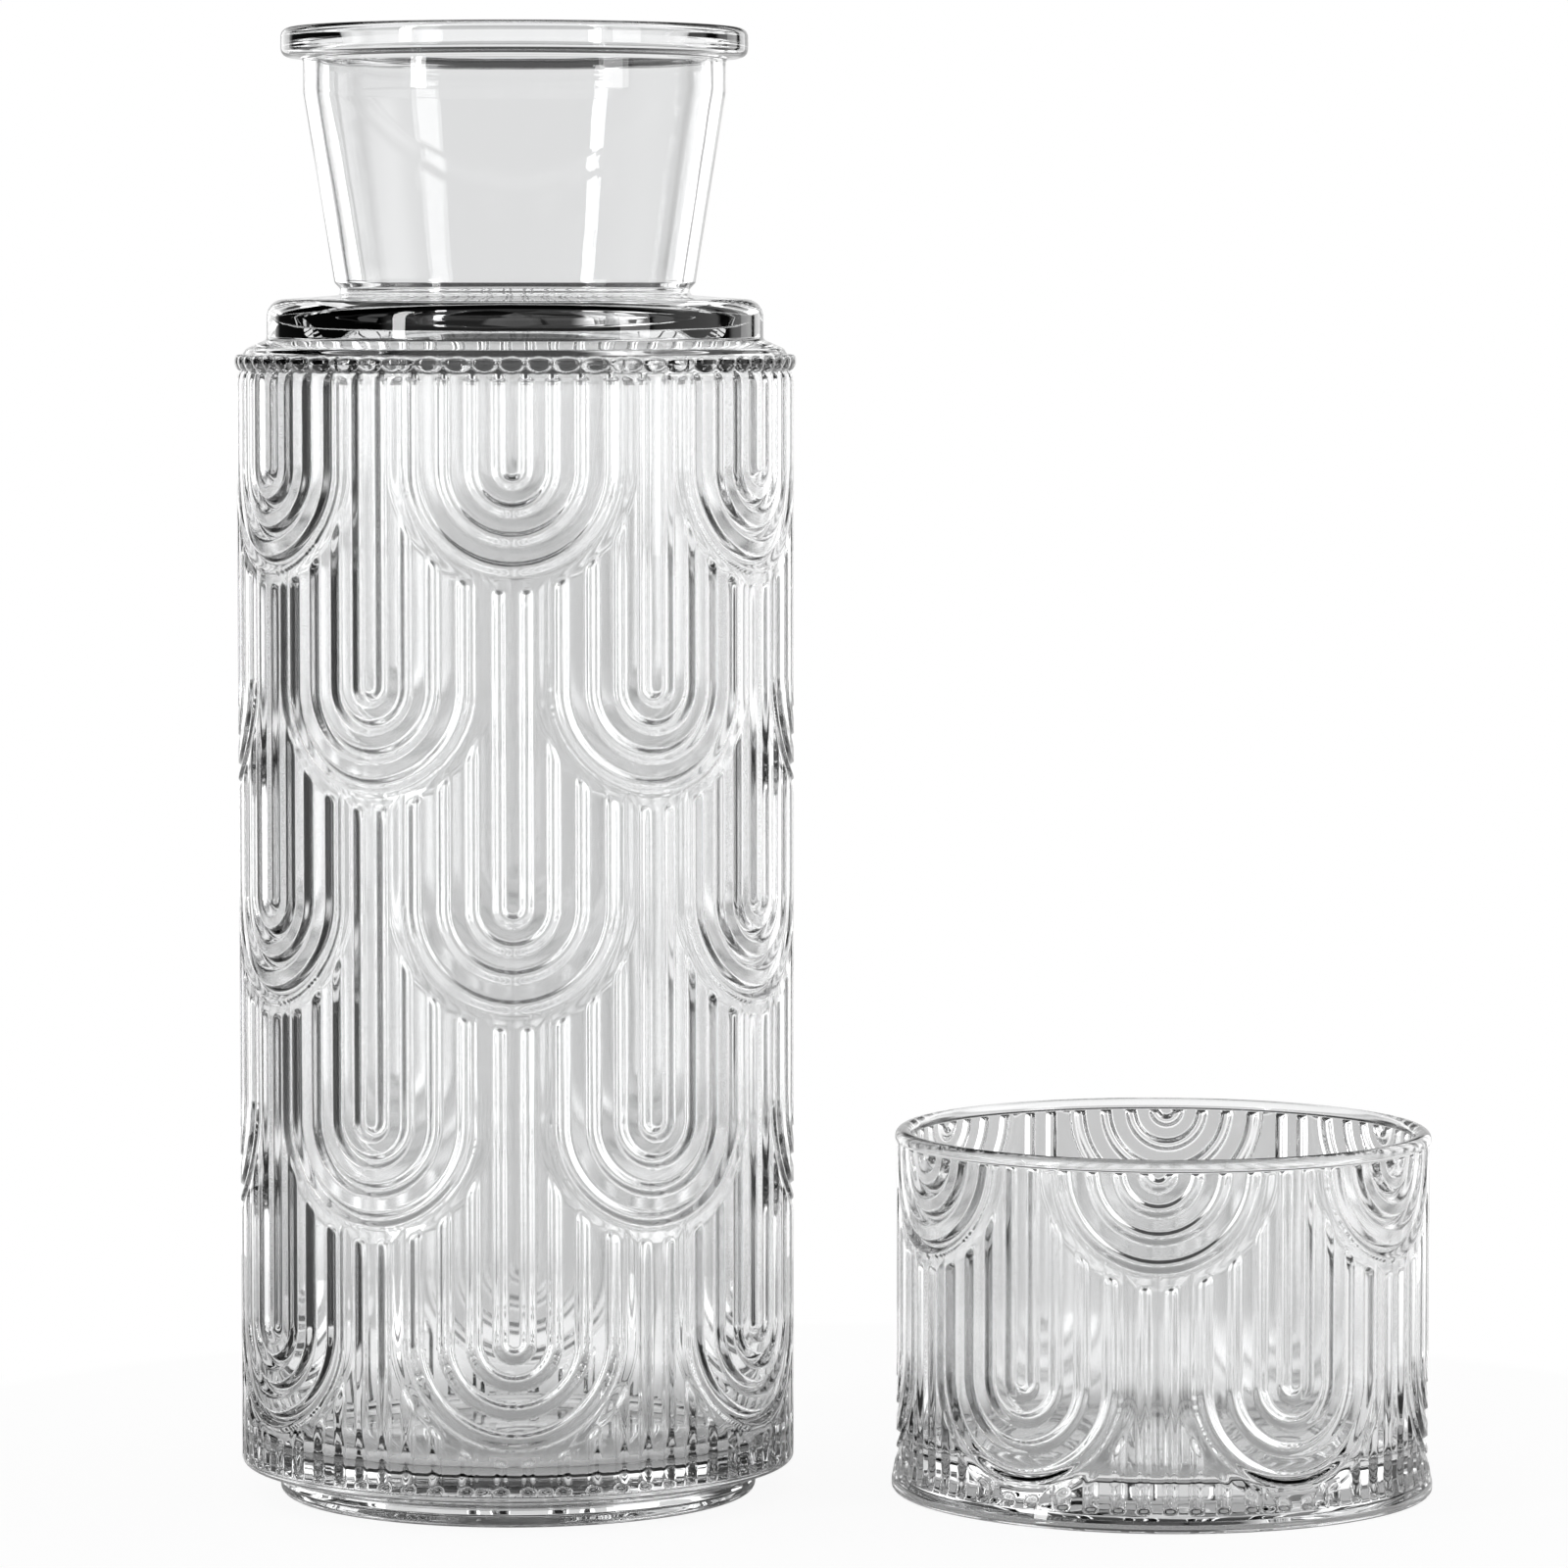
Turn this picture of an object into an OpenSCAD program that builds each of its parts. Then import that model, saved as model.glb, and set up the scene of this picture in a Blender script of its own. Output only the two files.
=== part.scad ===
/* [Carafe] */
// Diameter of the body over the ribs
body_diameter = 92; // [90:0.5:94]
// Height from the table to the top of the rim
carafe_height = 242.6; // [236:0.2:250]
// Thickness of the body wall under the ribs
body_wall = 3.2; // [2.8:0.1:3.6]
// Height of the inner floor above the table
floor_height = 8; // [7:0.1:9.5]
// Corner radius between the inner floor and the wall
floor_round = 8; // [6:0.5:10]

/* [Carafe foot] */
// Diameter of the foot
foot_diameter = 79.2; // [77:0.2:82]
// Height of the straight edge of the foot
foot_height = 3.3; // [2.8:0.1:3.8]
// Corner radius under the foot
foot_round = 1.2; // [0.8:0.1:1.6]
// Width of the ring that stands on the table
foot_ring_width = 3.6; // [3:0.1:5]
// Depth of the hollow under the foot
foot_hollow = 1.2; // [0.8:0.1:1.8]
// Height of the slope from the foot out to the body
heel_rise = 2.1; // [1.6:0.1:2.8]
// Corner radius at the lower edge of the body
heel_round = 1; // [0.6:0.1:1.4]
// Height of the plain band below the ribs
band_height = 1.6; // [1.3:0.1:3]

/* [Collar and neck] */
// Corner radius at the upper edge of the body
shoulder_round = 2.2; // [1.8:0.1:2.6]
// Slope of the shoulder in degrees
shoulder_slope = 24; // [20:1:30]
// Rise of the rib ends at the shoulder above the ribs
brow_rise = 0.4; // [0.2:0.1:0.6]
// Height over which the rib ends rise
brow_height = 2.4; // [2:0.1:3.2]
// Diameter of the collar that centres the tumbler
collar_diameter = 82; // [81:0.2:82.4]
// Height of the collar
collar_height = 6.4; // [5.8:0.1:7.2]
// Corner radius on top of the collar
collar_round = 3; // [2.4:0.1:3.4]
// Height of the crease between the collar and the neck
crease_height = 2; // [1.6:0.1:2.4]
// Depth of the crease inside the foot of the neck
crease_depth = 0.9; // [0.6:0.1:1.2]
// Outer diameter at the foot of the neck
neck_foot_diameter = 59.6; // [58:0.2:61]
// Outer diameter at the top of the neck
neck_top_diameter = 69.6; // [68:0.2:71]
// Height of the flaring part of the neck
neck_flare_height = 31.2; // [29:0.2:33]
// Height of the straight part of the neck below the rim
neck_straight_height = 5.8; // [4.8:0.1:6.8]
// Thickness of the neck wall
neck_wall = 2.6; // [2.3:0.1:2.9]
// Diameter of the rim
rim_diameter = 77; // [76:0.2:78.4]
// Width of the band at the rim
rim_width = 4.5; // [4.2:0.1:4.9]
// Height of the band at the rim
rim_height = 4.8; // [4.2:0.1:5.4]
// Corner radius of the band at the rim
rim_round = 1.4; // [1:0.1:1.8]

/* [Inside of the shoulder] */
// Radius of the rounded shoulder inside
hollow_round = 10; // [8.5:0.5:11]
// Slope of the ceiling inside in degrees
hollow_slope = 30; // [28:1:32]
// Height of the glass between the inner waist and the crease
waist_height = 2.3; // [2:0.1:2.8]
// Edge radius at the inner waist
waist_round = 1.5; // [1.2:0.1:1.7]

/* [Tumbler] */
// Diameter of the tumbler over the ribs
tumbler_diameter = 88.6; // [88.2:0.2:90]
// Height of the tumbler
tumbler_height = 60.4; // [57:0.2:66]
// Thickness of the tumbler wall
tumbler_wall = 2.6; // [2.4:0.1:2.7]
// Diameter of the drinking lip
lip_diameter = 89.2; // [89:0.1:90.6]
// Height of the plain lip above the ribs
lip_height = 1.7; // [1.6:0.1:2.4]
// Thickness of the tumbler floor
tumbler_floor = 7.3; // [6.4:0.1:8.2]
// Corner radius between the floor and the wall inside
tumbler_floor_round = 4; // [3:0.5:6]
// Diameter at the flared base
base_diameter = 90.2; // [90:0.1:91.6]
// Height of the flare at the base
base_flare_height = 5.7; // [5:0.1:6.4]
// Corner radius under the base
base_round = 1.3; // [1:0.1:1.6]
// Height of the plain edge below the ribs
base_edge_height = 3.3; // [2.8:0.1:4]
// Width of the ring that the tumbler stands on
base_ring_width = 5; // [4:0.2:7]
// Depth of the hollow under the base
base_hollow = 0.8; // [0.5:0.1:1.2]
// Distance between the axes of the carafe and the tumbler
stand_distance = 107.5; // [96:0.5:130]

/* [Ribbed arches] */
// Number of arches round the glass
arch_count = 6; // [6:1:6]
// Height from one row of arches to the next
row_pitch = 35; // [34:0.5:36]
// Drop from the upper edge of the body to the first arch centres
first_row_drop = 16.4; // [14.4:0.2:18]
// Drop from the lip of the tumbler to its first arch centres
tumbler_row_drop = 0.2; // [0.2:0.2:2]
// Half width of an arch as a share of the half pitch round the glass
arch_share = 0.75; // [0.73:0.01:0.76]
// Places of the grooves as shares of the half width of an arch
groove_shares = [0.125, 0.37, 0.63, 0.9];
// Width of a groove between two ribs
groove_width = 1.8; // [1.5:0.1:2]
// Depth of a groove between two ribs
groove_depth = 0.8; // [0.6:0.1:1]
// Gap from an arch to the grooves of the row below
arch_margin = 2.2; // [2:0.1:2.4]
// Turn of the arches on the carafe against the front in degrees
carafe_turn = 1.5; // [-5:0.5:5]
// Turn of the arches on the tumbler against the front in degrees
tumbler_turn = -4; // [-5:0.5:5]

/* [Hidden] */
$fn = 96;
// Length by which cuts reach past a surface
cut_overrun = 3;
// Angle between two points on the edge of an arch
edge_step = 6;
body_radius = body_diameter / 2;
foot_radius = foot_diameter / 2;
collar_radius = collar_diameter / 2;
cavity_radius = body_radius - body_wall;
heel_level = foot_height + heel_rise;
ribs_level = heel_level + band_height;
rim_radius = rim_diameter / 2;
rim_bore = rim_radius - rim_width;
rim_level = carafe_height - rim_height;
neck_foot_radius = neck_foot_diameter / 2;
neck_top_radius = neck_top_diameter / 2;
neck_flare_level = rim_level - neck_straight_height;
neck_level = neck_flare_level - neck_flare_height;
crease_radius = neck_foot_radius - crease_depth;
crease_level = neck_level - crease_depth;
collar_level = neck_level - crease_height - crease_depth;
collar_crown_level = neck_level - crease_height;
seat_level = collar_level - collar_height;
brow_axis = body_radius + brow_rise - shoulder_round;
slope_radius = brow_axis + shoulder_round * sin(shoulder_slope);
slope_rise = (slope_radius - collar_radius) * tan(shoulder_slope);
slope_level = seat_level - slope_rise;
shoulder_level = slope_level - shoulder_round * cos(shoulder_slope);
waist_radius = crease_radius - neck_wall;
waist_level = collar_crown_level - waist_height;
waist_tangent = waist_round * (1 - sin(hollow_slope)) / cos(hollow_slope);
hollow_axis = cavity_radius - hollow_round;
ceiling_radius = hollow_axis + hollow_round * sin(hollow_slope);
ceiling_level = waist_level - (ceiling_radius - waist_radius) * tan(hollow_slope);
hollow_level = ceiling_level - hollow_round * cos(hollow_slope);
tumbler_radius = tumbler_diameter / 2;
tumbler_bore = tumbler_radius - tumbler_wall;
lip_radius = lip_diameter / 2;
lip_round = (lip_radius - tumbler_bore) / 2;
lip_level = tumbler_height - lip_height;
base_radius = base_diameter / 2;
half_pitch = 180 / arch_count;
arch_angle = half_pitch * arch_share;
glass_tint = [0.86, 0.9, 0.92, 0.45];

module carafe_section() {
    difference() {
        union() {
            polygon([
                [0, foot_hollow],
                [foot_radius - foot_round - foot_ring_width - foot_hollow, foot_hollow],
                [foot_radius - foot_round - foot_ring_width, 0],
                [foot_radius - foot_round, 0],
                [foot_radius, foot_round],
                [foot_radius, foot_height],
                [body_radius - heel_round, heel_level],
                [body_radius, heel_level + heel_round],
                [body_radius, shoulder_level - brow_height],
                [body_radius + brow_rise, shoulder_level],
                [slope_radius, slope_level],
                [collar_radius, seat_level],
                [collar_radius, collar_level - collar_round],
                [collar_radius - collar_round, collar_level],
                [crease_radius, collar_crown_level],
                [crease_radius, crease_level],
                [neck_foot_radius, neck_level],
                [neck_top_radius, neck_flare_level],
                [neck_top_radius, rim_level],
                [rim_radius - rim_round, rim_level],
                [rim_radius, rim_level + rim_round],
                [rim_radius, carafe_height - rim_round],
                [rim_radius - rim_round, carafe_height],
                [rim_bore + rim_round, carafe_height],
                [rim_bore, carafe_height - rim_round],
                [neck_top_radius - neck_wall, rim_level],
                [neck_top_radius - neck_wall, neck_flare_level],
                [neck_foot_radius - neck_wall, neck_level],
                [waist_radius, crease_level],
                [waist_radius, waist_level + waist_tangent],
                [waist_radius + waist_tangent * cos(hollow_slope),
                    waist_level - waist_tangent * sin(hollow_slope)],
                [ceiling_radius, ceiling_level],
                [cavity_radius, hollow_level],
                [cavity_radius, floor_height + floor_round],
                [cavity_radius - floor_round, floor_height],
                [0, floor_height]
            ]);
            translate([foot_radius - foot_round, foot_round]) circle(r = foot_round);
            translate([body_radius - heel_round, heel_level + heel_round]) circle(r = heel_round);
            translate([brow_axis, shoulder_level]) circle(r = shoulder_round);
            translate([collar_radius - collar_round, collar_level - collar_round])
                circle(r = collar_round);
            translate([rim_radius - rim_round, rim_level + rim_round]) circle(r = rim_round);
            translate([rim_radius - rim_round, carafe_height - rim_round]) circle(r = rim_round);
            translate([rim_bore + rim_round, carafe_height - rim_round]) circle(r = rim_round);
            translate([waist_radius + waist_round, waist_level + waist_tangent])
                circle(r = waist_round);
        }
        translate([hollow_axis, hollow_level]) circle(r = hollow_round);
        translate([cavity_radius - floor_round, floor_height + floor_round])
            circle(r = floor_round);
    }
}

module tumbler_section() {
    difference() {
        union() {
            polygon([
                [0, base_hollow],
                [base_radius - base_round - base_ring_width - base_hollow, base_hollow],
                [base_radius - base_round - base_ring_width, 0],
                [base_radius - base_round, 0],
                [base_radius, base_round],
                [tumbler_radius, base_flare_height],
                [tumbler_radius, lip_level - (lip_radius - tumbler_radius)],
                [lip_radius, lip_level],
                [lip_radius, tumbler_height - lip_round],
                [tumbler_bore, tumbler_height - lip_round],
                [tumbler_bore, tumbler_floor + tumbler_floor_round],
                [tumbler_bore - tumbler_floor_round, tumbler_floor],
                [0, tumbler_floor]
            ]);
            translate([base_radius - base_round, base_round]) circle(r = base_round);
            translate([lip_radius - lip_round, tumbler_height - lip_round]) circle(r = lip_round);
        }
        translate([tumbler_bore - tumbler_floor_round, tumbler_floor + tumbler_floor_round])
            circle(r = tumbler_floor_round);
    }
}

// Outline of one arch with its straight sides carried up to a level
module arch_outline(reach, centre, top) {
    translate([0, centre]) circle(r = reach);
    translate([-reach, centre]) square([2 * reach, top - centre]);
}

// Outline of the next arch of the row above, as seen square on to this arch
module upper_neighbour(radius, reach, centre, top) {
    side = radius * sin(half_pitch - asin(reach / radius));
    polygon([
        for (turn = [0:edge_step:90])
            [radius * sin(half_pitch - asin(reach * cos(turn) / radius)), centre - reach * sin(turn)],
        [radius, centre - reach],
        [radius, top],
        [side, top]
    ]);
}

// Everything of the rows above that lies over an arch
module rows_above(radius, reach, row, centre, top) {
    if (row > 0) {
        upper_neighbour(radius, reach, centre + row_pitch, top);
        mirror([1, 0]) upper_neighbour(radius, reach, centre + row_pitch, top);
    }
    if (row > 1)
        arch_outline(reach, centre + 2 * row_pitch, top);
}

module arch_grooves(radius, row, centre, top) {
    reach = radius * sin(arch_angle);
    difference() {
        for (share = groove_shares)
            difference() {
                arch_outline(reach * share + groove_width / 2, centre, top);
                arch_outline(reach * share - groove_width / 2, centre, top + cut_overrun);
            }
        rows_above(radius, reach + arch_margin, row, centre, top + cut_overrun);
    }
}

// Ring of glass that the grooves lie in
module relief_zone(radius, low, top) {
    difference() {
        translate([0, 0, low]) cylinder(r = radius + cut_overrun, h = top - low);
        translate([0, 0, low - cut_overrun])
            cylinder(r = radius - groove_depth, h = top - low + 2 * cut_overrun);
    }
}

module arch_columns(radius, first_centre, low, top, turn) {
    rows = ceil((first_centre - low) / row_pitch) + 1;
    high = top + cut_overrun;
    for (side = [0, 1])
        for (index = [0:arch_count - 1])
            rotate([0, 0, half_pitch * (2 * index + side) + turn])
                intersection() {
                    relief_zone(radius, low, top);
                    rotate([90, 0, 0])
                        linear_extrude(height = radius + cut_overrun)
                            for (row = [side:2:rows - 1])
                                arch_grooves(radius, row, first_centre - row * row_pitch, high);
                }
}

module carafe() {
    color(glass_tint)
        difference() {
            rotate_extrude() carafe_section();
            arch_columns(body_radius, shoulder_level - first_row_drop, ribs_level, seat_level, carafe_turn);
        }
}

module tumbler() {
    color(glass_tint)
        translate([stand_distance, 0, 0])
            difference() {
                rotate_extrude() tumbler_section();
                arch_columns(tumbler_radius, lip_level - tumbler_row_drop, base_edge_height, lip_level,
                    tumbler_turn);
            }
}

carafe();
tumbler();
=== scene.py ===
import math
import bpy
import numpy as np
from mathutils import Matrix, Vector


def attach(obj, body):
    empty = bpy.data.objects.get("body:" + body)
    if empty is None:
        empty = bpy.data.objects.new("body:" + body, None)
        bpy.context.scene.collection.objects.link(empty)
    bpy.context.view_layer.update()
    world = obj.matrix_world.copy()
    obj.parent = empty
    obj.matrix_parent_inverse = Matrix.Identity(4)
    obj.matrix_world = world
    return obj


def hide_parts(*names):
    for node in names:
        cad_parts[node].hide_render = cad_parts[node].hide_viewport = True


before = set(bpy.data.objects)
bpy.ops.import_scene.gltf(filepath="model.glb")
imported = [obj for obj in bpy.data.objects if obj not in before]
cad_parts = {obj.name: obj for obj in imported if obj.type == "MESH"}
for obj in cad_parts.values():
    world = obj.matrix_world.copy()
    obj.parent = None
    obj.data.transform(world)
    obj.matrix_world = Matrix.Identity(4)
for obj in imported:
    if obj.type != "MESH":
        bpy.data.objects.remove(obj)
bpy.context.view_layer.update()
MM = 0.001
TINY = 1e-6

# Radius of each ribbed wall at its crests and the place of the tumbler's axis, in millimetres.
CARAFE_RADIUS = 46.0
TUMBLER_RADIUS = 44.3
TUMBLER_X = 107.5

# Corners of each section in millimetres: radius, height, corner radius.
CARAFE_FOOT = [
    (0, 1.2, 0), (33.4, 1.2, 1.2), (35.0, 0.0, 0.7), (39.6, 0.0, 1.2), (39.6, 3.4, 0.7),
]
CARAFE_BODY = [
    (CARAFE_RADIUS, 5.3, 1.1), (CARAFE_RADIUS, 185.2, 1.5), (46.4, 187.6, 0.5), (46.4, 189.1, 2.1),
]
CARAFE_TOP = [
    (41.0, 191.5, 0.7), (41.0, 197.9, 2.9), (28.9, 198.8, 0.6), (28.9, 199.9, 0.5),
    (29.8, 200.8, 0.8), (34.8, 232.0, 2.5), (34.8, 237.8, 1.0), (38.5, 237.8, 1.4),
    (38.5, 242.6, 1.4), (34.0, 242.6, 1.4), (34.0, 241.2, 0.7), (32.2, 237.8, 1.5),
]
CARAFE_INSIDE = [
    (32.2, 232.0, 2.5), (27.2, 200.8, 2.0), (26.3, 199.4, 1.0), (26.3, 196.5, 1.5),
    (42.8, 186.97, 4.5), (42.8, 8.0, 8.0), (0, 8.0, 0),
]
TUMBLER_BASE = [(0, 0.8, 0), (37.8, 0.8, 0.8), (38.8, 0.0, 0.5), (45.1, 0.0, 1.3)]
TUMBLER_BODY = [
    (45.1, 1.5, 0.5), (TUMBLER_RADIUS, 5.7, 5.0), (TUMBLER_RADIUS, 58.4, 0.3), (44.6, 58.7, 0.3),
]
TUMBLER_INSIDE = [(41.7, 7.3, 4.0), (0, 7.3, 0)]
# The rounded lip of the tumbler: centre radius, centre height, radius, first and last angle.
LIP = (43.15, 58.95, 1.45, 0, 180)

# Where the ribbed wall starts and ends: the carafe's by radius and then by height and radius,
# the tumbler's by height.
CARAFE_WALL_START = 45.99
CARAFE_WALL_END = (188.0, 41.3)
TUMBLER_WALL = (1.4, 58.0)

# The ribbed arches: number round the body, half width as an angle, grooves as shares of the half
# width, and distance between rows.
ARCHES = 6
REACH_ANGLE = math.radians(22.5)
GROOVES = (0.125, 0.37, 0.63, 0.9)
PITCH = 35.0
# Half of the distance between two grooves, and the shape of each groove.
HALF_PITCH = 2.2
GROOVE_HALF = 1.12
GROOVE_DEPTH = 1.08
GROOVE_POWER = 1.2
# An arch stands back where the one above it ends: plain glass, its fade, the step and its width.
PLAIN_GAP = 1.5
PLAIN_FADE = 1.3
EDGE_STEP = 0.38
EDGE_WIDTH = 2.4
LOW_FADE = 0.8
FAR = 99.0
# Each wall: radius, level of the first arch centres, rows after the first, lower end of the
# relief, turn, upper end and the height over which it fades out there.
CARAFE_ARCHES = (CARAFE_RADIUS, 171.2, 6, 6.6, math.radians(1.5), 190.1, 0.7)
TUMBLER_ARCHES = (TUMBLER_RADIUS, 58.5, 3, 3.3, math.radians(-4.0), 58.6, 0.9)

# The row of beads under the shoulder and the rounded rib ends below it.
BEAD_LEVEL = 187.9
BEAD_HALF = 1.65
BEAD_DEPTH = 0.8
REED_TOP = 186.1
REED_ROUND = 1.9
REED_GAP = 0.15

# Points round a ribbed wall and round a plain one.
FINE = 1200
COARSE = 240
# Distances between rows of points: near arcs and ends, along straight ribs, at the beads, on the
# foot and inside, and above the wall.
CLOSE_STEP = 0.3
OPEN_STEP = 2.0
BEAD_STEP = 0.22
FOOT_STEP = 4.0
TOP_STEP = 3.0
# Where the close rows lie: above an arch's centre, below its lowest rib, and at the wall's ends.
ABOVE_CENTRE = 0.8
BELOW_ARC = 4.0
END_ZONE = 2.0
BEADS_FROM = 183.5
# A run of the section that is longer takes levels, which keep clear of its ends.
LONG_RUN = 10.0
CLEAR_OF_END = 0.05
# Degrees of an arc between two points, and the most that an arc takes of a side.
ARC_STEP = 9
SIDE_SHARE = 0.48
STRAIGHT = math.pi - 1e-3


def unit(a, b):
    dx, dz = b[0] - a[0], b[1] - a[1]
    size = math.hypot(dx, dz)
    return dx / size, dz / size, size


def rounded(corners):
    """A line through the corners, each cut back to an arc of its own radius."""
    line = [corners[0][:2]]
    for before, here, after in zip(corners, corners[1:], corners[2:]):
        ax, az, a_size = unit(here, before)
        bx, bz, b_size = unit(here, after)
        turn = math.acos(max(-1.0, min(1.0, ax * bx + az * bz)))
        radius = here[2]
        if radius <= 0 or turn > STRAIGHT:
            line.append(here[:2])
            continue
        cut = min(radius / math.tan(turn / 2), SIDE_SHARE * a_size, SIDE_SHARE * b_size)
        radius = cut * math.tan(turn / 2)
        mx, mz = ax + bx, az + bz
        size = math.hypot(mx, mz)
        reach = radius / math.sin(turn / 2)
        cx, cz = here[0] + mx / size * reach, here[1] + mz / size * reach
        a0 = math.atan2(here[1] + az * cut - cz, here[0] + ax * cut - cx)
        a1 = math.atan2(here[1] + bz * cut - cz, here[0] + bx * cut - cx)
        sweep = (a1 - a0 + math.pi) % (2 * math.pi) - math.pi
        steps = max(2, int(abs(math.degrees(sweep)) / ARC_STEP) + 1)
        for i in range(steps + 1):
            a = a0 + sweep * i / steps
            line.append((cx + radius * math.cos(a), cz + radius * math.sin(a)))
    line.append(corners[-1][:2])
    return line


def arc(spec):
    cx, cz, radius, a0, a1 = spec
    steps = int(abs(a1 - a0) / ARC_STEP) + 1
    angles = [math.radians(a0 + (a1 - a0) * i / steps) for i in range(steps + 1)]
    return [(cx + radius * math.cos(a), cz + radius * math.sin(a)) for a in angles]


def smooth(x):
    x = np.clip(x, 0.0, 1.0)
    return x * x * (3.0 - 2.0 * x)


def relief(angle, z, radius, first, rows, low, turn):
    """Depth of the arches below the crest, and how far the nearest groove is.

    Each row of arches lies over the row below it.
    """
    reach = radius * math.sin(REACH_ANGLE)
    depth = np.zeros_like(angle)
    beside = np.full(angle.shape, HALF_PITCH)
    done = np.zeros(angle.shape, bool)
    gap = np.full(angle.shape, FAR)
    half = math.pi / ARCHES
    for row in range(rows + 1):
        centre = half * (row % 2) + turn
        a = np.mod(angle - centre + half, 2 * half) - half
        u = radius * np.sin(a)
        v = first - row * PITCH - z
        d = np.where(v < 0, np.abs(u), np.hypot(u, v))
        inside = (d <= reach) & ~done
        near = np.full(angle.shape, FAR)
        for share in GROOVES:
            near = np.minimum(near, np.abs(d - reach * share))
        notch = np.cos(np.clip(near / GROOVE_HALF, 0, 1) * math.pi / 2) ** GROOVE_POWER
        clear = smooth((gap - PLAIN_GAP) / PLAIN_FADE)
        step = EDGE_STEP * (1.0 - smooth(gap / EDGE_WIDTH))
        depth = np.where(inside, clear * (GROOVE_DEPTH * notch) + step, depth)
        beside = np.where(inside, np.minimum(near, HALF_PITCH), beside)
        gap = np.where(done | inside, gap, np.minimum(gap, d - reach))
        done |= inside
    return depth * smooth((z - low) / LOW_FADE), beside


def along(line, step):
    """The same line with points no farther apart than step."""
    out = [line[0]]
    for a, b in zip(line, line[1:]):
        dx, dz = b[0] - a[0], b[1] - a[1]
        size = math.hypot(dx, dz)
        if size < TINY:
            continue
        n = max(1, int(math.ceil(size / step)))
        out += [(a[0] + dx * i / n, a[1] + dz * i / n) for i in range(1, n + 1)]
    return out


def body_levels(low, high, first, reach):
    """Levels up a ribbed wall: close at arcs and groove ends, open where ribs run straight."""
    levels, z = [low], low
    while z < high - TINY:
        below = (first - z) % PITCH
        at_arc = below < reach + BELOW_ARC or below > PITCH - ABOVE_CENTRE
        at_end = z < low + END_ZONE or z > high - END_ZONE
        z += CLOSE_STEP if at_arc or at_end else OPEN_STEP
        levels.append(min(z, high))
    return levels


def split_body(line, arches):
    """Put the levels of the ribbed wall into the straight run of the section's line."""
    radius, first = arches[:2]
    levels = body_levels(line[0][1], line[-1][1], first, radius * math.sin(REACH_ANGLE))
    out = []
    for a, b in zip(line, line[1:]):
        out.append(a)
        if abs(a[0] - b[0]) < TINY and b[1] - a[1] > LONG_RUN:
            low, high = a[1] + CLEAR_OF_END, b[1] - CLEAR_OF_END
            out += [(a[0], z) for z in levels if low < z < high]
    out.append(line[-1])
    return out


def bulge(left):
    """How far a round end lies below its crest, from what is left of 1 after its squares."""
    return 1.0 - np.sqrt(np.clip(left, 0, 1))


def with_beads(depth, beside, z):
    """The relief with the row of beads and the rounded rib ends below it."""
    side = 1.0 - beside / HALF_PITCH
    up = (z - BEAD_LEVEL) / BEAD_HALF
    bead = BEAD_DEPTH * bulge(1.0 - side ** 2 - up ** 2)
    end = np.clip((z - REED_TOP) / REED_ROUND + 1.0, 0, 1)
    reed = np.maximum(depth, BEAD_DEPTH * bulge(1.0 - end ** 2))
    return np.where(z > REED_TOP + REED_GAP, bead, reed)


def plain_rows(line):
    return [(1, 0, z) if r < TINY else (COARSE, r, z) for r, z in line]


def ribbed_rows(line, arches, beads=False):
    """Rows of the ribbed wall. The relief goes in square to the section's line."""
    radius, first, rows, low, turn, top, top_fade = arches
    line = np.array(line)
    step = np.gradient(line, axis=0)
    size = np.hypot(step[:, 0], step[:, 1])
    normal_r, normal_z = step[:, 1] / size, -step[:, 0] / size
    angle = np.arange(FINE) * 2 * math.pi / FINE
    grid_a, grid_z = np.meshgrid(angle, line[:, 1])
    depth, beside = relief(grid_a, grid_z, radius, first, rows, low, turn)
    if beads:
        depth = with_beads(depth, beside, grid_z)
    depth *= smooth((top - grid_z) / top_fade)
    return [
        (FINE, r - own * across, z - own * up)
        for (r, z), own, across, up in zip(line, depth, normal_r, normal_z)
    ]


def bridge(fine, coarse, ratio, count):
    """Triangles between a ring of count points and one with ratio times as many."""
    i = np.arange(count)
    total = ratio * count
    half = ratio // 2
    parts = []
    for m in range(ratio):
        here = fine + (ratio * i + m) % total
        after = fine + (ratio * i + m + 1) % total
        anchor = coarse + (i if m < ratio - half else (i + 1) % count)
        parts.append(np.stack([here, after, anchor], axis=1))
    corner = fine + (ratio * i + ratio - half) % total
    parts.append(np.stack([corner, coarse + (i + 1) % count, coarse + i], axis=1))
    return np.concatenate(parts)


def ring_faces(rings):
    """Faces between rings of points, each given as the number of its first point and its size."""
    quads, tris = [], []
    for (s0, n0), (s1, n1) in zip(rings, rings[1:]):
        i = np.arange(max(n0, n1))
        j = (i + 1) % len(i)
        if n0 == n1:
            quads.append(np.stack([s0 + i, s0 + j, s1 + j, s1 + i], axis=1))
        elif n0 == 1:
            tris.append(np.stack([np.full(n1, s0), s1 + j, s1 + i], axis=1))
        elif n1 == 1:
            tris.append(np.stack([s0 + i, s0 + j, np.full(n0, s1)], axis=1))
        elif n0 > n1:
            tris.append(bridge(s0, s1, n0 // n1, n1))
        else:
            tris.append(bridge(s1, s0, n1 // n0, n0)[:, ::-1])
    return np.concatenate(quads), np.concatenate(tris)


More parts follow.
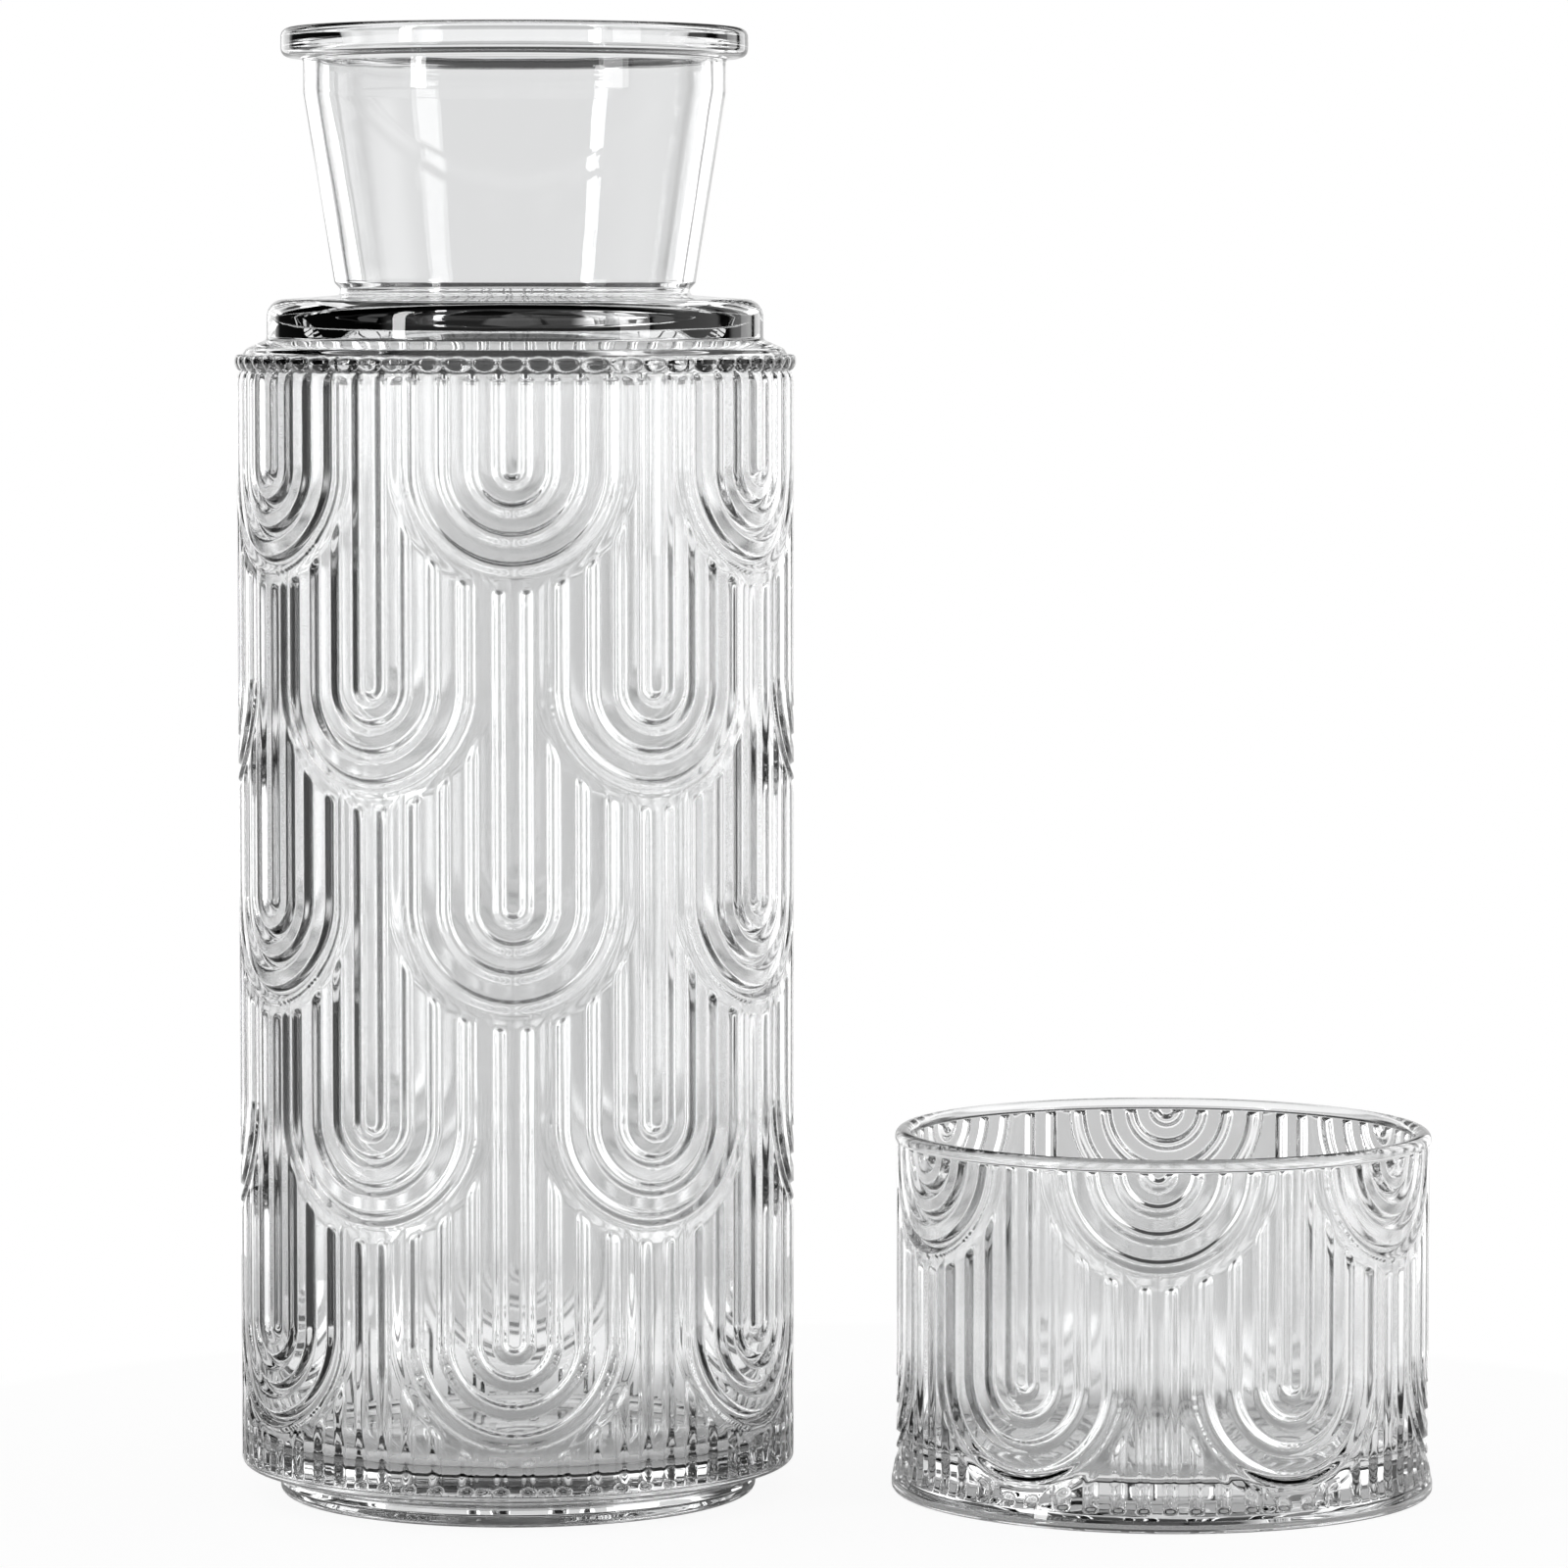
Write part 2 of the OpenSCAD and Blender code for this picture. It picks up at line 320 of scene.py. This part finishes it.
def ring_mesh(name, rows, x_axis):
    """A closed mesh from rows of (count, radii, heights). A row of one point lies on the axis."""
    points, rings = [], []
    total = 0
    for count, radius, height in rows:
        rings.append((total, count))
        total += count
        if count == 1:
            points.append(np.array([[0.0, 0.0, height]]))
            continue
        a = np.arange(count) * 2 * math.pi / count
        height = np.broadcast_to(height, (count,))
        points.append(np.stack([radius * np.sin(a), -radius * np.cos(a), height], axis=1))
    points = np.concatenate(points)
    points[:, 0] += x_axis
    points *= MM
    quads, tris = ring_faces(rings)
    loops = np.concatenate([quads.ravel(), tris.ravel()]).astype(np.int32)
    sizes = np.concatenate([np.full(len(quads), 4), np.full(len(tris), 3)])
    begins = np.concatenate([[0], np.cumsum(sizes)[:-1]]).astype(np.int32)
    mesh = bpy.data.meshes.new(name)
    mesh.vertices.add(len(points))
    mesh.vertices.foreach_set("co", points.astype(np.float32).ravel())
    mesh.loops.add(len(loops))
    mesh.loops.foreach_set("vertex_index", loops)
    mesh.polygons.add(len(sizes))
    mesh.polygons.foreach_set("loop_start", begins)
    mesh.update(calc_edges=True)
    mesh.validate()
    mesh.polygons.foreach_set("use_smooth", np.ones(len(mesh.polygons), bool))
    mesh.update()
    obj = bpy.data.objects.new(name, mesh)
    bpy.context.scene.collection.objects.link(obj)
    return obj


def in_three(line, starts, ends):
    """The line cut into foot, ribbed wall and top, which share their end points."""
    low = next(i for i, (r, z) in enumerate(line) if starts(r, z))
    high = next(i for i, (r, z) in enumerate(line) if ends(r, z))
    return line[:low + 1], line[low:high + 1], line[high:]


def build_carafe():
    end_level, end_radius = CARAFE_WALL_END
    foot, wall, top = in_three(
        rounded(CARAFE_FOOT + CARAFE_BODY + CARAFE_TOP + CARAFE_INSIDE),
        lambda r, z: r > CARAFE_WALL_START,
        lambda r, z: z > end_level and r < end_radius,
    )
    wall = split_body(wall, CARAFE_ARCHES)
    beaded = [p for p in wall if p[1] > BEADS_FROM]
    wall = [p for p in wall if p[1] <= BEADS_FROM] + along(beaded, BEAD_STEP)
    rows = plain_rows(along(foot, FOOT_STEP))
    rows += ribbed_rows(wall, CARAFE_ARCHES, beads=True)
    rows += plain_rows(along(top, TOP_STEP)[1:])
    return ring_mesh("carafe_glass", rows, 0.0)


def build_tumbler():
    start_level, end_level = TUMBLER_WALL
    lip = arc(LIP)
    foot, wall, top = in_three(
        rounded(TUMBLER_BASE + TUMBLER_BODY + [lip[0] + (0,)]),
        lambda r, z: z > start_level,
        lambda r, z: z > end_level,
    )
    wall = split_body(along(wall[:-1], CLOSE_STEP) + [wall[-1]], TUMBLER_ARCHES)
    inside = rounded([lip[-1] + (0,)] + TUMBLER_INSIDE)
    rows = plain_rows(along(foot, FOOT_STEP))
    rows += ribbed_rows(wall, TUMBLER_ARCHES)
    rows += plain_rows(along(top[1:], TOP_STEP) + lip[1:] + along(inside, FOOT_STEP)[1:])
    return ring_mesh("tumbler_glass", rows, TUMBLER_X)


def feed(nt, socket, value):
    """Link an output to the socket, or set the socket to a plain value."""
    if isinstance(value, bpy.types.NodeSocket):
        nt.links.new(value, socket)
    else:
        socket.default_value = value


def math_node(nt, operation, *values):
    node = nt.nodes.new("ShaderNodeMath")
    node.operation = operation
    for socket, value in zip(node.inputs, values):
        feed(nt, socket, value)
    return node.outputs[0]


def vector_node(nt, operation, source, vector):
    node = nt.nodes.new("ShaderNodeVectorMath")
    node.operation = operation
    nt.links.new(source, node.inputs[0])
    node.inputs[1].default_value = vector
    return node


def from_axis(nt, place, x):
    """Distance from the axis of a body that stands at x."""
    return vector_node(nt, "DISTANCE", place, (x, 0, 0)).outputs["Value"]


def rising(nt, source, low, high, kind="SMOOTHSTEP"):
    """0 at low and 1 at high."""
    node = nt.nodes.new("ShaderNodeMapRange")
    node.interpolation_type = kind
    node.inputs["From Min"].default_value = low
    node.inputs["From Max"].default_value = high
    nt.links.new(source, node.inputs["Value"])
    return node.outputs["Result"]


def ramp(nt, source, stops):
    node = nt.nodes.new("ShaderNodeValToRGB")
    elements = node.color_ramp.elements
    while len(elements) > 1:
        elements.remove(elements[-1])
    for i, (at, level) in enumerate(stops):
        stop = elements[0] if i == 0 else elements.new(at)
        stop.position = at
        stop.color = (level, level, level, 1)
    nt.links.new(source, node.inputs["Fac"])
    return node.outputs["Color"]


def mixed(nt, share, first, second, blend="MIX"):
    """The second colour over the first one, by its share."""
    node = nt.nodes.new("ShaderNodeMix")
    node.data_type = "RGBA"
    node.blend_type = blend
    feed(nt, node.inputs["Factor"], share)
    feed(nt, node.inputs["A"], first)
    feed(nt, node.inputs["B"], second)
    return node.outputs["Result"]


def coordinates(nt, kind):
    """Coordinates of a place or a direction, whole and as X, Y and Z."""
    coord = nt.nodes.new("ShaderNodeTexCoord")
    split = nt.nodes.new("ShaderNodeSeparateXYZ")
    nt.links.new(coord.outputs[kind], split.inputs[0])
    return coord.outputs[kind], split.outputs


def ray_kinds(nt):
    """The kinds of ray, and 1 for the rays that a mirror or glass sends on."""
    kinds = nt.nodes.new("ShaderNodeLightPath").outputs
    return kinds, math_node(nt, "MAXIMUM", kinds["Is Glossy Ray"], kinds["Is Transmission Ray"])


WHITE = (1, 1, 1, 1)

GLASS_COLOUR = (0.985, 0.988, 0.99, 1)
GLASS_INDEX = 1.5
# How fast the light fades along its way through the glass, per metre, and to what colour.
GLASS_DENSITY = 5
FADE_COLOUR = (0.5, 0.505, 0.51, 1)
# The faint waves of the glass: size, stretch, detail, strength and height.
WAVE_SCALE = 60
WAVE_STRETCH = (1, 1, 0.45)
WAVE_DETAIL = 2
WAVE_STRENGTH = 0.12
WAVE_HEIGHT = 0.0008
# The rough inner wall, the distances outside it where it ends, and how it fades at its top.
INNER_ROUGHNESS = 0.13
INNER_EDGE = (0.0006, 0.0002)
INNER_TOP_FADE = 0.002
# Each glass in metres: seed of its waves, place of its axis, radius of its inner wall, and the
# heights where that wall is still clear, fully rough, and rough for the last time.
GLASSES = {
    "carafe": (0.3, 0.0, 0.0428, 0.012, 0.057, 0.186),
    "tumbler": (1.7, 0.1075, 0.0417, 0.009, 0.028, 0.06),
}


def glass(name, seed, x, inner, clear, low, high):
    """Pressed glass.

    The mould leaves the inner wall of the body wavier than the fire-polished outside.
    """
    mat = bpy.data.materials.new(name)
    mat.use_nodes = True
    nt = mat.node_tree
    bsdf = nt.nodes["Principled BSDF"].inputs
    bsdf["Base Color"].default_value = GLASS_COLOUR
    bsdf["IOR"].default_value = GLASS_INDEX
    bsdf["Transmission Weight"].default_value = 1.0
    place, axes = coordinates(nt, "Object")
    move = nt.nodes.new("ShaderNodeMapping")
    move.inputs["Location"].default_value = (seed, seed * 0.7, 0)
    move.inputs["Scale"].default_value = WAVE_STRETCH
    noise = nt.nodes.new("ShaderNodeTexNoise")
    noise.inputs["Scale"].default_value = WAVE_SCALE
    noise.inputs["Detail"].default_value = WAVE_DETAIL
    bump = nt.nodes.new("ShaderNodeBump")
    bump.inputs["Strength"].default_value = WAVE_STRENGTH
    bump.inputs["Distance"].default_value = WAVE_HEIGHT
    nt.links.new(place, move.inputs["Vector"])
    nt.links.new(move.outputs["Vector"], noise.inputs["Vector"])
    nt.links.new(noise.outputs["Fac"], bump.inputs["Height"])
    nt.links.new(bump.outputs["Normal"], bsdf["Normal"])
    flat = vector_node(nt, "MULTIPLY", place, (1, 1, 0)).outputs["Vector"]
    outer_edge, inner_edge = INNER_EDGE
    within = rising(nt, from_axis(nt, flat, x), inner + outer_edge, inner + inner_edge)
    above = rising(nt, axes["Z"], clear, low)
    below = rising(nt, axes["Z"], high + INNER_TOP_FADE, high)
    rough = math_node(nt, "MULTIPLY", math_node(nt, "MULTIPLY", within, above), below)
    nt.links.new(math_node(nt, "MULTIPLY", rough, INNER_ROUGHNESS), bsdf["Roughness"])
    fade = nt.nodes.new("ShaderNodeVolumeAbsorption")
    fade.inputs["Color"].default_value = FADE_COLOUR
    fade.inputs["Density"].default_value = GLASS_DENSITY
    nt.links.new(fade.outputs[0], nt.nodes["Material Output"].inputs["Volume"])
    return mat


# Light of the room on matte surfaces.
ROOM_LIGHT = (0.95, 0.95, 0.95, 1)
# Brightness round the studio: degrees from straight behind the object, to the right of it.
AZIMUTH_LEVELS = [
    (-180, 0.9), (-122, 0.9), (-118, 0.03), (-41, 0.03), (-37, 1.0), (-22, 1.0), (-14, 0.85),
    (14, 0.85), (22, 1.0), (31, 1.0), (32, 0.03), (36, 0.03), (37, 1.0), (57, 1.0), (60, 0.03),
    (68, 0.03), (71, 1.0), (110, 1.0), (113, 0.03), (122, 0.03), (125, 0.9), (180, 0.9),
]
# The room on the near side of the object, as the outside of the glass mirrors it.
ROOM_LEVELS = [(-180, 0.4), (-130, 0.4), (-95, 1.0), (95, 1.0), (130, 0.4), (180, 0.4)]
# A light grey screen low behind the object, by direction and by height.
VEIL_LEVELS = [(-180, 1.0), (-20, 1.0), (-13, 0.7), (13, 0.7), (20, 1.0), (180, 1.0)]
VEIL_HEIGHTS = [(-90, 0.0), (-14, 0.0), (-10, 1.0), (-2.0, 1.0), (-0.5, 0.0), (90, 0.0)]
# The screens stand above this height in degrees.
BELT = [(-90, 0.0), (-13, 0.0), (-10.5, 1.0), (90, 1.0)]
# The darkness overhead.
HEIGHT_LEVELS = [(-90, 1.0), (9.5, 1.0), (13, 0.08), (90, 0.08)]
# A tall white screen on the right reaches higher than the rest.
TALL_LEVELS = [(-90, 1.0), (62, 1.0), (68, 0.05), (90, 0.05)]
TALL_SIDES = [(-180, 0.0), (20, 0.0), (30, 1.0), (95, 1.0), (105, 0.0), (180, 0.0)]


def build_world():
    """Plain white for the camera, and screens round the object for its glass to show."""
    world = bpy.data.worlds.new("studio")
    bpy.context.scene.world = world
    world.use_nodes = True
    nt = world.node_tree
    axes = coordinates(nt, "Generated")[1]
    turn = math_node(nt, "ARCTAN2", axes["X"], axes["Y"])
    round_share = rising(nt, turn, -math.pi, math.pi, "LINEAR")
    up_share = rising(nt, axes["Z"], -1, 1, "LINEAR")

    def around(levels):
        return ramp(nt, round_share, [((a + 180) / 360, level) for a, level in levels])

    def upward(levels):
        sines = [(math.sin(math.radians(e)), level) for e, level in levels]
        return ramp(nt, up_share, [((sine + 1) / 2, level) for sine, level in sines])

    overhead = mixed(nt, around(TALL_SIDES), upward(HEIGHT_LEVELS), upward(TALL_LEVELS))
    veil = mixed(nt, upward(VEIL_HEIGHTS), WHITE, around(VEIL_LEVELS))
    screens = mixed(nt, 1.0, around(AZIMUTH_LEVELS), veil, "MULTIPLY")
    screens = mixed(nt, upward(BELT), WHITE, screens)
    screens = mixed(nt, 1.0, screens, overhead, "MULTIPLY")
    kinds, from_glass = ray_kinds(nt)
    mirrored = mixed(nt, kinds["Is Glossy Ray"], WHITE, around(ROOM_LEVELS))
    screens = mixed(nt, 1.0, screens, mirrored, "MULTIPLY")
    light = mixed(nt, from_glass, ROOM_LIGHT, screens)
    background = nt.nodes["Background"].inputs
    nt.links.new(mixed(nt, kinds["Is Camera Ray"], light, WHITE), background["Color"])
    background["Strength"].default_value = 1.0


# The floor in metres: radius, place of its centre, and where it fades into the backdrop.
FLOOR_RADIUS = 0.2
FLOOR_X = 0.05
FLOOR_EDGE = (0.13, 0.19)
FLOOR_COLOUR = (0.7, 0.7, 0.7, 1)
# Share of plain white in the floor that the camera sees near the object; the rest carries its
# shadow.
FLOOR_SHARE = 0.93
# The glass shows a white floor behind the object: distances from the nearest axis between which
# it grows white, and the same for its depth behind the axes.
# Nearer the axes and in front of them the glass sees only the matte floor, which is darker there:
# partly its real shadow, partly painted shade.
WHITE_FROM = (0.046, 0.13)
WHITE_DEPTH = (0.0, 0.05)
# Painted light on the floor under each piece, by distance from its axis, seen only through the
# glass.
PAINTED_LIGHT_UNDER_EDGE = (0.05, 0.03)
PAINTED_LIGHT_UNDER_SHARE = 0.3


def build_floor():
    bpy.ops.mesh.primitive_circle_add(
        vertices=96, radius=FLOOR_RADIUS, fill_type="NGON", location=(FLOOR_X, 0, 0),
    )
    floor = bpy.context.object
    floor.name = "floor"
    mat = bpy.data.materials.new("pale_floor")
    mat.use_nodes = True
    nt = mat.node_tree
    nt.nodes.remove(nt.nodes["Principled BSDF"])
    matte = nt.nodes.new("ShaderNodeBsdfDiffuse")
    matte.inputs["Color"].default_value = FLOOR_COLOUR
    glow = nt.nodes.new("ShaderNodeEmission")
    glow.inputs["Color"].default_value = WHITE
    glow.inputs["Strength"].default_value = 1.0
    place, axes = coordinates(nt, "Object")
    carafe_x, tumbler_x = -FLOOR_X, TUMBLER_X * MM - FLOOR_X
    near = math_node(nt, "MINIMUM", from_axis(nt, place, carafe_x), from_axis(nt, place, tumbler_x))
    left = math_node(nt, "SUBTRACT", carafe_x, axes["X"])
    right = math_node(nt, "SUBTRACT", axes["X"], tumbler_x)
    aside = math_node(nt, "MAXIMUM", math_node(nt, "MAXIMUM", left, right), 0.0)
    behind = rising(nt, math_node(nt, "SUBTRACT", axes["Y"], aside), *WHITE_DEPTH)
    # Glow for the glass away from the pieces; held back near them, which paints shade there over
    # the real shadow.
    white = math_node(nt, "MULTIPLY", behind, rising(nt, near, *WHITE_FROM))
    # Painted light: a glow under each piece, for rays through the glass only.
    painted_light_under = math_node(nt, "MULTIPLY", rising(nt, near, *PAINTED_LIGHT_UNDER_EDGE), PAINTED_LIGHT_UNDER_SHARE)
    plain = math_node(nt, "MAXIMUM", rising(nt, from_axis(nt, place, 0), *FLOOR_EDGE), FLOOR_SHARE)
    kinds, from_glass = ray_kinds(nt)
    shares = [
        math_node(nt, "MULTIPLY", kinds["Is Camera Ray"], plain),
        math_node(nt, "MULTIPLY", from_glass, white),
        # painted light under each piece, seen through the glass
        math_node(nt, "MULTIPLY", kinds["Is Transmission Ray"], painted_light_under),
    ]
    mix = nt.nodes.new("ShaderNodeMixShader")
    largest = math_node(nt, "MAXIMUM", shares[0], math_node(nt, "MAXIMUM", *shares[1:]))
    nt.links.new(largest, mix.inputs["Fac"])
    nt.links.new(matte.outputs[0], mix.inputs[1])
    nt.links.new(glow.outputs[0], mix.inputs[2])
    nt.links.new(mix.outputs[0], nt.nodes["Material Output"].inputs["Surface"])
    floor.data.materials.append(mat)


# Soft lamps in metres and watts: name, place, height of the point they face on the carafe's axis,
# width and height, power.
LAMPS = [
    ("key", (-0.95, -0.75, 0.5), 0.18, (0.15, 0.75), 5.0),
    ("fill", (1.08, -0.67, 0.45), 0.18, (0.34, 0.7), 2.5),
    ("high right", (1.25, 0.3, 1.15), 0.2, (0.7, 0.7), 1.8),
    ("back left", (-0.82, 1.6, 0.46), 0.2, (0.63, 1.38), 3.0),
    ("back right", (0.773, 1.62, 0.46), 0.2, (0.36, 1.38), 1.65),
    ("back far right", (1.224, 1.313, 0.46), 0.2, (0.44, 1.38), 2.0),
]
CAMERA_AT = (0.0444, -1.142, 0.1985)
CAMERA_AIM = (0.0444, 0.0, 0.1178)
CAMERA_LENS = 158.3
CAMERA_SENSOR = 36


def place_facing(name, data, at, aim):
    obj = bpy.data.objects.new(name, data)
    bpy.context.scene.collection.objects.link(obj)
    obj.location = at
    direction = Vector([aim[i] - at[i] for i in range(3)])
    obj.rotation_euler = direction.to_track_quat("-Z", "Y").to_euler()
    return obj


def build_lamps():
    for name, at, aim_height, size, power in LAMPS:
        data = bpy.data.lights.new(name, "AREA")
        data.shape = "RECTANGLE"
        data.size, data.size_y = size
        data.energy = power
        place_facing(name, data, at, (0.0, 0, aim_height))


def build_camera():
    data = bpy.data.cameras.new("camera")
    data.sensor_width = CAMERA_SENSOR
    data.lens = CAMERA_LENS
    data.clip_start = 0.05
    data.clip_end = 50
    bpy.context.scene.camera = place_facing("camera", data, CAMERA_AT, CAMERA_AIM)


for piece, body in ((build_carafe(), "carafe"), (build_tumbler(), "tumbler")):
    piece.data.materials.append(glass(body + "_glass", *GLASSES[body]))
    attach(piece, body)
    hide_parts(body)

build_world()
build_floor()
build_lamps()
build_camera()
scene = bpy.context.scene
scene.view_settings.view_transform = "Standard"
